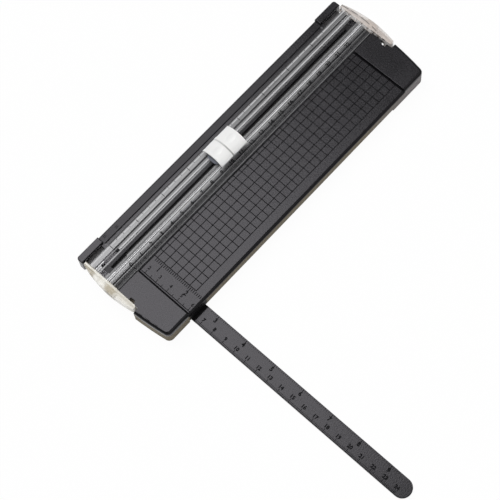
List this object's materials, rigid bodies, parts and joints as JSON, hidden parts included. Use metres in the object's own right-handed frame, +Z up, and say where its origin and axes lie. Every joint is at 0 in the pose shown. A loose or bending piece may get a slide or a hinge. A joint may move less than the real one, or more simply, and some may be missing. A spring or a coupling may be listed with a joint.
{
  "type": "paper trimmer",
  "caption": "Portable sliding card and photo trimmer: gridded board, clear lifting rail with a spring-loaded blade slider, hinged end arms and a swing-out ruler.",
  "frame": {"origin": "centre of the board's footprint, on the surface that it rests on", "axes": "+X along the board and the rail, +Y towards the hinged back edge, +Z up"},
  "size_m": [0.2702, 0.2708, 0.0245],
  "materials": {
    "board_plastic": "fine moulded texture, satin black",
    "cover_plastic": "satin black",
    "strip_plastic": "satin black, self-healing",
    "foot_rubber": "matt black rubber",
    "steel": "plain turned steel",
    "blade_steel": "ground blade steel",
    "clear_plastic": "clear acrylic, polished",
    "cap_clear_plastic": "clear acrylic, slightly warm",
    "carriage_plastic": "translucent natural nylon",
    "white_plastic": "white, semi gloss",
    "holder_plastic": "black nylon",
    "ruler_plastic": "satin black with pale marks"
  },
  "bodies": {
    "base": {"base_shell": "board_plastic", "bottom_cover": "cover_plastic", "cover_screws": "steel", "cutting_strip": "strip_plastic", "foot_strip_centre": "foot_rubber", "foot_strip_left": "foot_rubber", "foot_strip_right": "foot_rubber", "hinge_pin_left": "steel", "hinge_pin_right": "steel", "ruler_pivot_screw": "steel", "ruler_washer": "steel"},
    "rail": {"clear_rail": "clear_plastic", "end_cap_left": "cap_clear_plastic", "end_cap_right": "cap_clear_plastic", "end_cap_screws": "steel"},
    "slider": {"slider_carriage": "carriage_plastic", "return_spring_left": "steel", "return_spring_right": "steel"},
    "cutter_cap": {"press_cap": "white_plastic", "cap_screws": "steel", "blade_holder": "holder_plastic", "trim_blade": "blade_steel", "blade_rivet": "steel"},
    "ruler": {"swing_ruler": "ruler_plastic", "ruler_bush": "steel"}
  },
  "joints": [
    {"name": "rail_lift", "type": "hinge", "parent": "base", "child": "rail", "pos_m": [0, 0.0384, 0.01], "axis": [-1, 0, 0], "range_deg": [0, 30]},
    {"name": "slider_slide", "type": "slide", "parent": "rail", "child": "slider", "axis": [1, 0, 0], "range_m": [-0.11, 0.122]},
    {"name": "cap_press", "type": "slide", "parent": "slider", "child": "cutter_cap", "axis": [0, 0, -1], "range_m": [0, 0.0017], "stiffness_N_per_m": 600, "deforming": ["return_spring_left", "return_spring_right"]},
    {"name": "ruler_swing", "type": "hinge", "parent": "base", "child": "ruler", "pos_m": [-0.1017, -0.0315, 0.0016], "axis": [0, 0, 1], "range_deg": [0, 90]}
  ]
}
